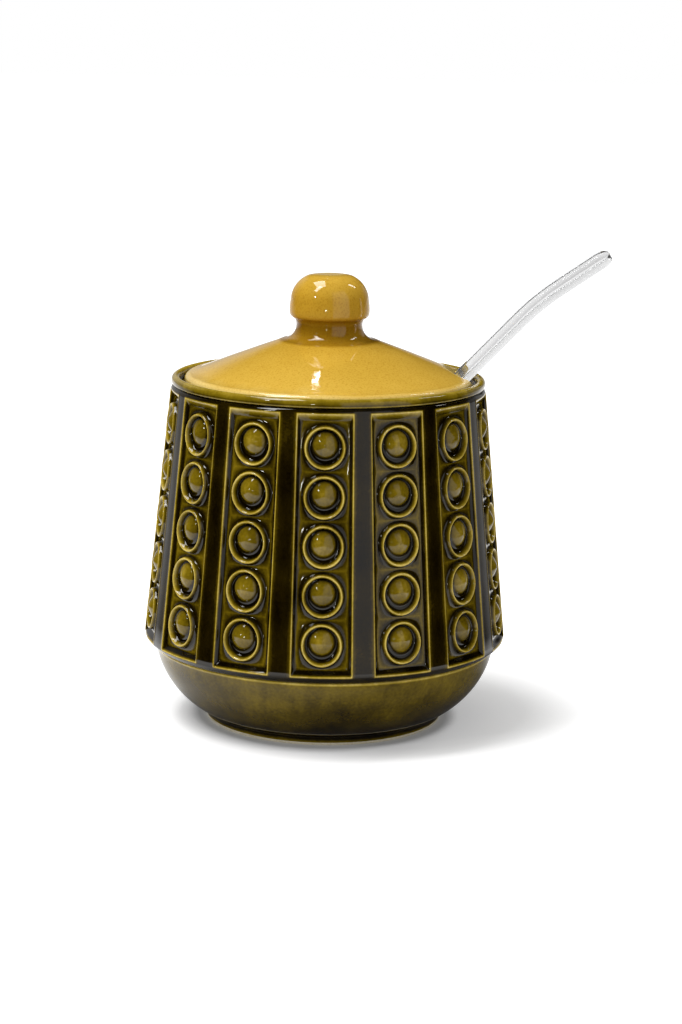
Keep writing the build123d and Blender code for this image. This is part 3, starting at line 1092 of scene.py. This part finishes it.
ray = tree.nodes.new("ShaderNodeLightPath").outputs
glow = choose(tree, ray["Is Glossy Ray"], 0, gloss_glow)
spoon_glow = add_math(tree, "MULTIPLY", camera_glow, 0.2)
glow = choose(tree, ray["Is Transmission Ray"], glow, spoon_glow)
glow = choose(tree, ray["Is Camera Ray"], glow, camera_glow)
off_paper = add_math(tree, "SUBTRACT", ray["Is Glossy Ray"], on_paper)
off_paper = add_math(tree, "SUBTRACT", off_paper, ray["Is Transmission Ray"])
off_paper.node.use_clamp = True

# %% Mix the floor's shaders
own_light = tree.nodes.new("ShaderNodeEmission")
tree.links.new(glow, own_light.inputs["Strength"])
lit_paper = tree.nodes.new("ShaderNodeAddShader")
tree.links.new(shader.outputs["BSDF"], lit_paper.inputs[0])
tree.links.new(own_light.outputs["Emission"], lit_paper.inputs[1])
room = tree.nodes.new("ShaderNodeEmission")
tree.links.new(choose(tree, board, 0.0, 0.75), room.inputs["Strength"])
paper_or_room = tree.nodes.new("ShaderNodeMixShader")
tree.links.new(off_paper, paper_or_room.inputs["Fac"])
tree.links.new(lit_paper.outputs["Shader"], paper_or_room.inputs[1])
tree.links.new(room.outputs["Emission"], paper_or_room.inputs[2])
out = next(node for node in tree.nodes if node.type == "OUTPUT_MATERIAL")
tree.links.new(paper_or_room.outputs["Shader"], out.inputs["Surface"])
print("white paper", len(tree.nodes), "nodes")

# %% [markdown]
# ## World
# The camera sees white, and the rays that light the jar find an even grey. Glossy rays see a
# studio: a pale board at the front right, greyer walls behind, and nothing above or in front.
# A picture of a studio could be wrapped round the jar, but two ramps round the horizon, one for
# how bright it is and one for how high it reaches, need no file. Rays through the spoon see a
# white that dims overhead.

# %% Ramps round the horizon
def horizon_ramp(tree, around, stops):
    """A ramp of greys at headings: 0 degrees is the front, and right is positive."""
    return add_ramp(tree, around, [(at / 360 + 0.5, (grey,) * 3) for at, grey in stops])


world = bpy.data.worlds.new("studio")
bpy.context.scene.world = world
world.use_nodes = True
tree = world.node_tree
tree.nodes.clear()
way = tree.nodes.new("ShaderNodeTexCoord")
split = tree.nodes.new("ShaderNodeSeparateXYZ")
tree.links.new(way.outputs["Generated"], split.inputs["Vector"])
forward = add_math(tree, "MULTIPLY", split.outputs["Y"], -1)
sky_heading = add_math(tree, "ARCTAN2", split.outputs["X"], forward)
around = add_math(tree, "MULTIPLY_ADD", sky_heading, 1 / (2 * pi), 0.5)
brightness = horizon_ramp(tree, around, [
    (-180, 0.42), (-150, 0.42), (-110, 0.0), (8, 0.0), (12, 0.6), (30, 0.75), (58, 0.85),
    (62, 0.0), (114, 0.0), (150, 0.42), (180, 0.42),
])
top_edge = horizon_ramp(tree, around, [
    (-180, 0.10), (-150, 0.60), (-110, 0.60), (0, 0.75), (72, 0.75),
    (112, 0.34), (150, 0.34), (155, 0.10), (180, 0.10),
])

# %% Studio for the glaze, white for the camera
edge_sharpness = 7
below_edge = add_math(tree, "SUBTRACT", top_edge, split.outputs["Z"])
below_edge = add_math(tree, "MULTIPLY_ADD", below_edge, edge_sharpness, 0.5)
below_edge.node.use_clamp = True
studio = add_math(tree, "MULTIPLY", brightness, below_edge)
through_spoon = add_range(tree, split.outputs["Z"], 0.2, 0.85, 1.0, 0.6)
ray = tree.nodes.new("ShaderNodeLightPath").outputs
seen = choose(tree, ray["Is Glossy Ray"], 0.5, studio)
seen = choose(tree, ray["Is Transmission Ray"], seen, through_spoon)
seen = choose(tree, ray["Is Camera Ray"], seen, 1)
backdrop = tree.nodes.new("ShaderNodeBackground")
backdrop.inputs["Color"].default_value = (1, 1, 1, 1)
tree.links.new(seen, backdrop.inputs["Strength"])
world_out = tree.nodes.new("ShaderNodeOutputWorld")
tree.links.new(backdrop.outputs["Background"], world_out.inputs["Surface"])
print("world", len(tree.nodes), "nodes")

# %% [markdown]
# ## Lamps
# Two soft boxes at the left light the jar and throw its shadow to the right. Three small lamps
# and a narrow strip give the points and thin streaks of white that gloss shows. Sun lamps would
# be simpler, but the size of an area lamp sets how soft its shadow and how large its highlight
# is. The camera doesn't see the lamps.

# %% Lamps
lamp_target = Vector((0, 0, 0.07))


def soft_box(name, azimuth, elevation, distance, width, height, power):
    """A lamp that points at the jar. Azimuth 0 is the front, and right is positive."""
    lamp = bpy.data.lights.new(name, "AREA")
    lamp.shape, lamp.size, lamp.size_y, lamp.energy = "RECTANGLE", width, height, power
    thing = bpy.data.objects.new(name, lamp)
    bpy.context.scene.collection.objects.link(thing)
    flat = cos(radians(elevation))
    way = Vector((
        flat * sin(radians(azimuth)), -flat * cos(radians(azimuth)), sin(radians(elevation)),
    ))
    thing.location = lamp_target + way * distance
    thing.rotation_euler = way.to_track_quat("Z", "Y").to_euler()
    thing.visible_camera = False


# Degrees, metres and watts.
soft_box("key", -93, 72, 1.02, 0.55, 0.35, 5.0)
soft_box("soft box at the left", -56, 58, 1.02, 0.16, 0.40, 2.4)
soft_box("small lamp at the left", -45, 27, 1.2, 0.06, 0.06, 0.9)
soft_box("small lamp in front", -9.5, 3.4, 1.2, 0.05, 0.05, 0.6)
soft_box("small lamp behind", -174.5, 54.6, 1.2, 0.035, 0.016, 0.06)
soft_box("strip at the right", 114, 48, 1.1, 0.08, 0.3, 0.9)

# %% [markdown]
# ## Close
# Colours are shown as they are.

# %% Close
bpy.context.scene.view_settings.view_transform = "Standard"
